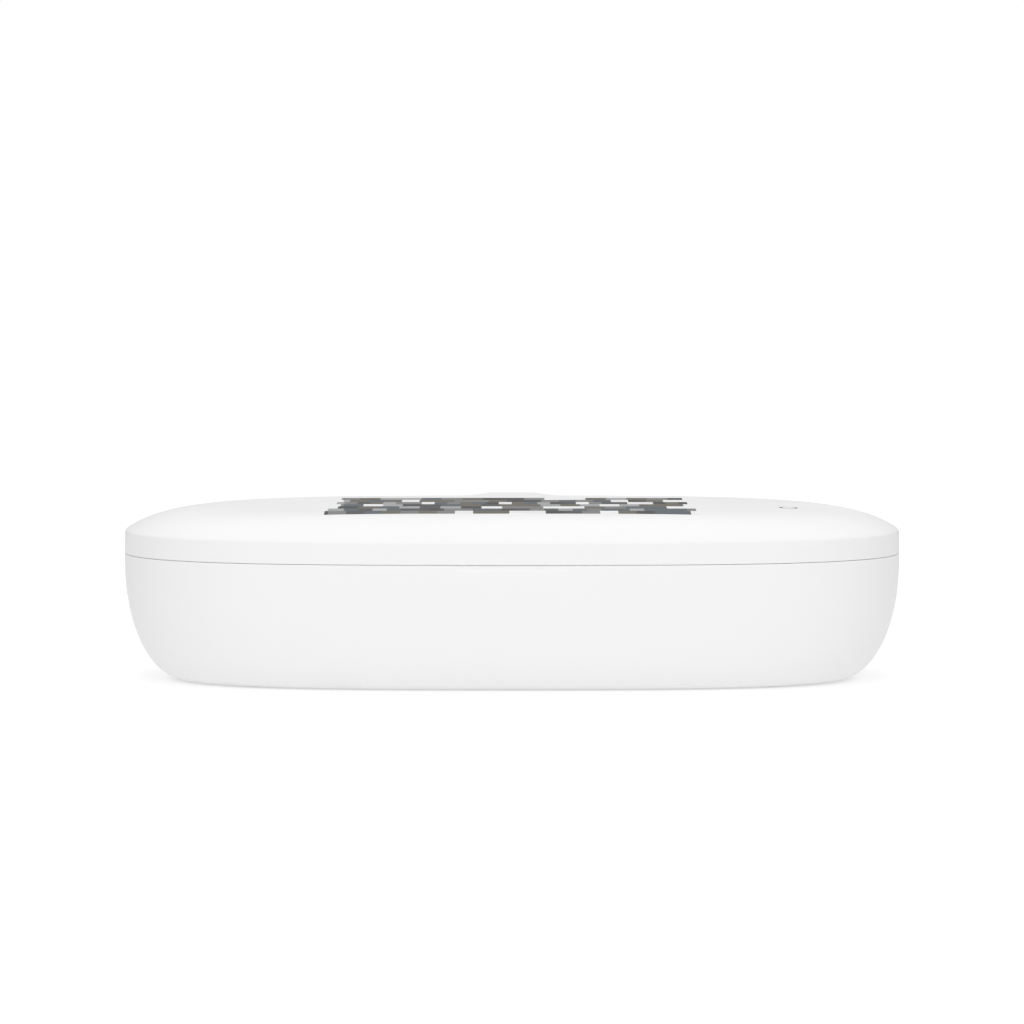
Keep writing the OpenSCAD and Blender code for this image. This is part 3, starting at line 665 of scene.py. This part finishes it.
def power_button():
    dish = 0.16 * MM
    stem_r = MM
    gap_under_ring = 0.3 * MM
    flange_t = 0.6 * MM
    flange_r = CAP_R + CAP_FLANGE_W
    flange_top_z = ring_lo.z - gap_under_ring
    flange_z = flange_top_z - flange_t
    profile = rounded([
        (0.1 * MM, cap_lo.z), (stem_r, cap_lo.z, 0.1 * MM), (stem_r, flange_z),
        (flange_r, flange_z, 0.1 * MM), (flange_r, flange_top_z, 0.1 * MM),
        (CAP_R, flange_top_z), (CAP_R, cap_hi.z, 0.3 * MM), (0.75 * CAP_R, cap_hi.z),
        (0.5 * CAP_R, cap_hi.z - 0.6 * dish), (0.1 * CAP_R, cap_hi.z - dish)])
    piece = turned("button_cap", BUTTON_X, BUTTON_Y, profile, sides=96)
    place(leaned(piece), "button", "button_white", "power_button")


# ---- Chamber: tray, gasket, rails, windows and liner ----

TRAY_T = 1.5 * MM
TRAY_DRAFT = 5 * MM            # how far the chamber's sides draw in
TRAY_CORNER = 4 * MM
FLANGE_T = 1.6 * MM
FLANGE_EDGE = 2.8 * MM         # inset of the flange's edge from the outline
MOUTH = 9.5 * MM               # inset of the chamber's mouth
GASKET_MID = 6.5 * MM
GASKET_W = 2 * MM
GASKET_SEAT = 0.9 * MM
LINER_T = 1.2 * MM
LINER_TOP_Z = LINER_Z + LINER_T
WINDOW_R = (window_hi.y - window_lo.y) / 2
WINDOW_T = window_hi.z - window_lo.z
WINDOW_LIP = MM                # ledge around each window's hole
WINDOW_GAP = 0.1 * MM
CHAMBER_FLOOR_Z = window_hi.z
LAMPS_X = (window_lo.x + WINDOW_R, 0, window_hi.x - WINDOW_R)


def lamp_holes(z, t):
    """Cuts through a panel of thickness t, one at each lamp."""
    return [post(x, 0, z - MM, WINDOW_R - WINDOW_LIP, t + 2 * MM) for x in LAMPS_X]


def window_seats(z, h):
    return [post(x, 0, z, WINDOW_R + WINDOW_GAP, h) for x in LAMPS_X]


def chamber_tray():
    under_z = CHAMBER_FLOOR_Z - TRAY_T
    foot_in = MOUTH + TRAY_DRAFT
    middle_in = foot_in + 14 * MM  # inset of the flat middle's first ring
    slope = TRAY_DRAFT / (FLANGE_Z - CHAMBER_FLOOR_Z)
    groove = GASKET_W / 2 + 0.2 * MM
    groove_z = FLANGE_Z - GASKET_SEAT
    under_flange_z = FLANGE_Z - FLANGE_T
    corners = [
        (middle_in, under_z), (foot_in - TRAY_T, under_z, TRAY_CORNER),
        (MOUTH - TRAY_T + slope * FLANGE_T, under_flange_z),
        (FLANGE_EDGE, under_flange_z, 0.2 * MM), (FLANGE_EDGE, FLANGE_Z, 0.25 * MM),
        (GASKET_MID - groove, FLANGE_Z, 0.12 * MM), (GASKET_MID - groove, groove_z),
        (GASKET_MID + groove, groove_z), (GASKET_MID + groove, FLANGE_Z, 0.12 * MM),
        (MOUTH, FLANGE_Z, MM), (foot_in, CHAMBER_FLOOR_Z, TRAY_CORNER + TRAY_T),
        (middle_in, CHAMBER_FLOOR_Z)]
    piece = skin("chamber_skin", [ring(inset, z) for inset, z in rounded(corners, 8)])
    carve(piece, cut=lamp_holes(under_z, TRAY_T) + [hinge_window()])
    carve(piece, cut=window_seats(window_lo.z, 2 * WINDOW_T))
    place(piece, "base", "mirror_liner", "chamber_tray")


def gasket():
    half_w = GASKET_W / 2
    profile = rounded([
        (GASKET_MID - half_w, gasket_lo.z, 0.2 * MM), (GASKET_MID - half_w, gasket_hi.z, 0.85 * MM),
        (GASKET_MID + half_w, gasket_hi.z, 0.85 * MM), (GASKET_MID + half_w, gasket_lo.z, 0.2 * MM)])
    piece = skin("gasket_bead", [ring(inset, z) for inset, z in profile], closed=True)
    place(piece, "base", "gasket_grey", "rim_gasket")


def rails():
    """Bars with a round back that the phone lies across; their ends slim down and round off."""
    lo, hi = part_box("phone_rails")
    half_w = 1.5 * MM
    height = hi.z - lo.z
    end_l = 1.2 * MM
    end_share = 0.45               # share of the section that is left at the very end
    arc = np.radians(np.linspace(0, 180, 17))
    across = np.concatenate([[half_w], half_w * np.cos(arc), [-half_w]])
    upright = np.concatenate([[0], height - half_w + half_w * np.sin(arc), [0]])
    turns = np.radians(np.linspace(0, 90, 7))
    steps = [(lo.y + end_l * (1 - math.cos(t)), end_share + (1 - end_share) * math.sin(t))
             for t in turns]
    steps += [(-y, share) for y, share in steps[::-1]]
    parts = []
    for x in (lo.x + half_w, hi.x - half_w):
        rings = [np.stack([x + across * share, y + 0 * across, lo.z + upright * share], 1)
                 for y, share in steps]
        parts.append(skin("rail", rings))
    place(joined("rail_bars", parts), "base", "rail_clear", "phone_rails")


def lid_liner():
    middle_in = 50 * MM            # inset of the flat middle's first ring
    bead_in = 9.6 * MM
    bead_w = 1.6 * MM
    bead_h = 0.3 * MM
    corners = [
        (middle_in, LINER_TOP_Z), (FLANGE_EDGE, LINER_TOP_Z, 0.15 * MM),
        (FLANGE_EDGE, LINER_Z, 0.3 * MM), (bead_in, LINER_Z, 0.4 * MM),
        (bead_in + bead_w / 2, LINER_Z + bead_h, 0.4 * MM), (bead_in + bead_w, LINER_Z, 0.4 * MM),
        (middle_in, LINER_Z)]
    piece = skin("liner_panel", [ring(inset, z) for inset, z in rounded(corners)])
    board_x = LAMPS_X[2] / 2       # of the posts under the lamp board
    board_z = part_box("upper_lamp_board")[0].z
    post_r = 2.5 * MM
    raised = [post(x, 0, LINER_TOP_Z - SINK, post_r, board_z - LINER_Z - LINER_T + SINK)
              for x in (-board_x, board_x)]
    carve(piece, add=raised, cut=lamp_holes(LINER_Z, LINER_T) + [hinge_window()])
    carve(piece, cut=window_seats(LINER_Z - MM, MM + WINDOW_T))
    place(piece, "lid", "mirror_liner", "lid_liner")


def lamps(side, body):
    """Ceramic lamp packages, each under a low clear lens."""
    node = side + "_lamps"
    place(softened(side + "_lamp_packages", node, 0.12 * MM), body, "lamp_ceramic", node)
    lo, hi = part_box(node)
    facing = 1 if side == "lower" else -1
    face_z = hi.z if facing > 0 else lo.z
    dome = [(1.2, 0), (1.2, 0.08), (1.1, 0.18), (0.85, 0.27), (0.5, 0.33), (0.1, 0.35)]
    profile = [(r * MM, face_z + facing * h * MM) for r, h in dome]
    lenses = [turned("lens", x, 0, profile, sides=32) for x in LAMPS_X]
    place(joined(side + "_lenses", lenses), body, "quartz")


# ---- Feet, hinge, socket, coil and small pieces ----


def feet():
    """Round pads, each with a shallow dish in its underside."""
    lo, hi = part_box("rubber_feet")
    dish_h = 0.3 * MM
    dish_r = 3.4 * MM
    tread_r = 3.9 * MM
    core_r = 0.3 * MM
    profile = rounded([
        (core_r, dish_h), (dish_r, dish_h, 0.2 * MM), (tread_r, 0, 0.2 * MM), (FOOT_R, 0, 0.35 * MM),
        (FOOT_R, hi.z, 0.1 * MM), (core_r, hi.z)])
    parts = [turned("foot", x, y, profile) for x, y in near_corners(lo, hi, FOOT_R)]
    place(joined("feet_rubber", parts), "base", "foot_rubber", "rubber_feet")


def coil():
    """Flat winding of round wire, from the inside out."""
    lo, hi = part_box("charging_coil")
    bore_r = 10 * MM
    gap = 0.06 * MM                # between neighbouring turns
    wire_r = (hi.z - lo.z) / 2
    inner_r = bore_r + wire_r
    outer_r = hi.x - wire_r
    turns = round((outer_r - inner_r) / (2 * wire_r + gap))
    steps = 48 * turns
    slim_r = 0.96 * wire_r         # keeps the turns apart to the eye
    section = np.linspace(0, 2 * math.pi, 10, endpoint=False)
    out = slim_r * np.cos(section)
    z = (lo.z + hi.z) / 2 + slim_r * np.sin(section)
    rings = []
    for k in range(steps + 1):
        angle = 2 * math.pi * turns * k / steps
        r = inner_r + (outer_r - inner_r) * k / steps + out
        rings.append(np.stack([r * math.cos(angle), r * math.sin(angle), z], 1))
    place(skin("coil_winding", rings), "lid", "coil_copper", "charging_coil")


def socket():
    """The power socket's shell, and its contacts above and below the tongue."""
    place(softened("socket_shell", "usb_socket", 0.12 * MM), "base", "socket_steel", "usb_socket")
    lo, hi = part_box("usb_socket")
    mid_z = (lo.z + hi.z) / 2
    pitch = 0.5 * MM
    pad_w = 0.26 * MM
    pad_l = 2.6 * MM
    pad_t = 0.03 * MM
    tip_y = hi.y - 0.8 * MM
    tongue = 0.35 * MM             # half its thickness
    pads = []
    for k in range(-6, 7):
        x = k * pitch
        for z in (mid_z - tongue - pad_t, mid_z + tongue):
            pads.append(block((x - pad_w / 2, tip_y - pad_l, z), (x + pad_w / 2, tip_y, z + pad_t)))
    place(joined("socket_contacts", pads), "base", "coil_copper")


def rounded_copies():
    """Small hard pieces keep the model's shape, with their edges rounded."""
    for node, body, slot, width in (
            ("hinge_bracket", "base", "hinge_white", 0.3),
            ("hinge_arm", "lid", "hinge_white", 0.3),
            ("hinge_pin", "base", "pin_steel", 0.2),
            ("lower_board_screws", "base", "screw_steel", 0.1),
            ("main_board_screws", "base", "screw_steel", 0.1),
            ("tray_screws", "base", "screw_steel", 0.1),
            ("bracket_screws", "base", "screw_steel", 0.1),
            ("arm_screws", "lid", "screw_steel", 0.1),
            ("liner_screws", "lid", "screw_steel", 0.1),
            ("upper_board_screws", "lid", "screw_steel", 0.1),
            ("main_board_parts", "base", "chip_black", 0.1),
            ("charging_board_parts", "lid", "chip_black", 0.1),
            ("button_switch", "lid", "chip_black", 0.1),
            ("lid_sensor", "base", "chip_black", 0.1),
            ("base_magnets", "base", "magnet_nickel", 0.2),
            ("lid_magnets", "lid", "magnet_nickel", 0.2)):
        place(softened(node + "_rounded", node, width * MM), body, slot, node)


def kept_nodes():
    """Plates and boards whose shape is right get a finish."""
    for node, slot in (("lower_windows", "quartz"), ("upper_windows", "quartz"),
                       ("lower_lamp_board", "board_white"), ("upper_lamp_board", "board_white"),
                       ("main_board", "board_green"), ("charging_board", "board_green"),
                       ("button_board", "board_green"), ("coil_shield", "ferrite")):
        nodes[node].data.materials.clear()
        nodes[node].data.materials.append(MATERIALS[slot])


base_casing()
lid_casing()
light_ring()
power_button()
chamber_tray()
gasket()
rails()
lid_liner()
lamps("lower", "base")
lamps("upper", "lid")
feet()
coil()
socket()
rounded_copies()
kept_nodes()

# ---- Floor and light ----

FLOOR_COLOUR = (0.28, 0.28, 0.28)
FLOOR_GLOW = 0.77
# Lower emission near the casing paints its shadow onto the floor; the lights don't cast it.
OVERHANG_PAINTED_SHADE_GLOW = 0.71              # of the floor that the casing overhangs, its emission lowered there as painted shade
GAP_PAINTED_SHADOW_GLOW = 0.49                # of the floor in the thin gap under the casing, its emission lowered there as a painted contact shadow
GAP_END = 0.98                 # where those three meet, as |x|^SQUARE_X + |y|^SQUARE_Y
SHADE_START = 1.18             # with x and y as shares of the foot's reach
SHADE_END = 1.9
KEY_STRENGTH = 0.79
KEY_TILT = math.radians(33)
KEY_SPREAD = math.radians(40)
SKY_TOP = 1.48
SKY_SIDE = 0.03
SIDE_LOSS = 0.42               # share of the sky's light that is missing at the left and right
BACKDROP = 1.0


def floor():
    """Pale ground that glows a little, with a painted shadow: its emission is lowered by position
    under and around the casing's outline.
    """
    reach = 6.0                    # metres to each side
    mesh = bpy.data.meshes.new("floor")
    corners = [(-reach, -reach, 0), (reach, -reach, 0), (reach, reach, 0), (-reach, reach, 0)]
    mesh.from_pydata(corners, [], [(0, 1, 2, 3)])
    plane = new_object("floor", mesh)
    material = surface("floor_white_painted_shadow", FLOOR_COLOUR, 0.9, tint=0.002, wear=0.0, bump=0.001 * MM,
                       Emission_Color=WHITE, Specular_IOR_Level=0.0)
    tree = material.node_tree
    spot = add(tree, "SeparateXYZ", {"Vector": add(tree, "TexCoord").outputs["Object"]}).outputs
    shares = []
    for axis, half, power in (("X", HALF_L - TUCK, SQUARE_X), ("Y", HALF_D - TUCK, SQUARE_Y)):
        share = maths(tree, "DIVIDE", maths(tree, "ABSOLUTE", spot[axis]), half)
        shares.append(maths(tree, "POWER", share, power))
    out = maths(tree, "ADD", shares[0], shares[1])
    # Painted shadow: the floor's emission falls towards and under the casing's outline, by position
    # alone.
    painted_shadow_glow = maths(tree, "ADD", spread(tree, out, GAP_PAINTED_SHADOW_GLOW, OVERHANG_PAINTED_SHADE_GLOW, GAP_END, SHADE_START),
                 spread(tree, out, 0.0, FLOOR_GLOW - OVERHANG_PAINTED_SHADE_GLOW, SHADE_START, SHADE_END))
    tree.links.new(painted_shadow_glow, tree.nodes["Principled BSDF"].inputs["Emission Strength"])
    mesh.materials.append(material)


def sky():
    """Soft light from above, weaker from the left and right, in front of a white backdrop."""
    world = bpy.data.worlds.new("studio")
    bpy.context.scene.world = world
    world.use_nodes = True
    tree = world.node_tree
    tree.nodes.clear()
    toward = add(tree, "SeparateXYZ", {"Vector": add(tree, "TexCoord").outputs["Generated"]}).outputs
    sideways = maths(tree, "MULTIPLY", toward["X"], toward["X"])
    kept = maths(tree, "MULTIPLY_ADD", sideways, -SIDE_LOSS, 1.0)
    level = maths(tree, "MULTIPLY", spread(tree, toward["Z"], SKY_SIDE, SKY_TOP, 0.0, 1.0), kept)
    light = add(tree, "Background", {"Color": WHITE, "Strength": level})
    backdrop = add(tree, "Background", {"Color": WHITE, "Strength": BACKDROP})
    seen = add(tree, "LightPath").outputs["Is Camera Ray"]
    mix = add(tree, "MixShader", {0: seen, 1: light.outputs[0], 2: backdrop.outputs[0]})
    add(tree, "OutputWorld", {"Surface": mix.outputs[0]})


def key_light():
    light = bpy.data.lights.new("key", "SUN")
    light.energy = KEY_STRENGTH
    light.angle = KEY_SPREAD
    sun = bpy.data.objects.new("key", light)
    sun.rotation_euler = (math.pi / 2 - KEY_TILT, 0, 0)
    bpy.context.scene.collection.objects.link(sun)


floor()
sky()
key_light()
bpy.context.scene.view_settings.view_transform = "Standard"
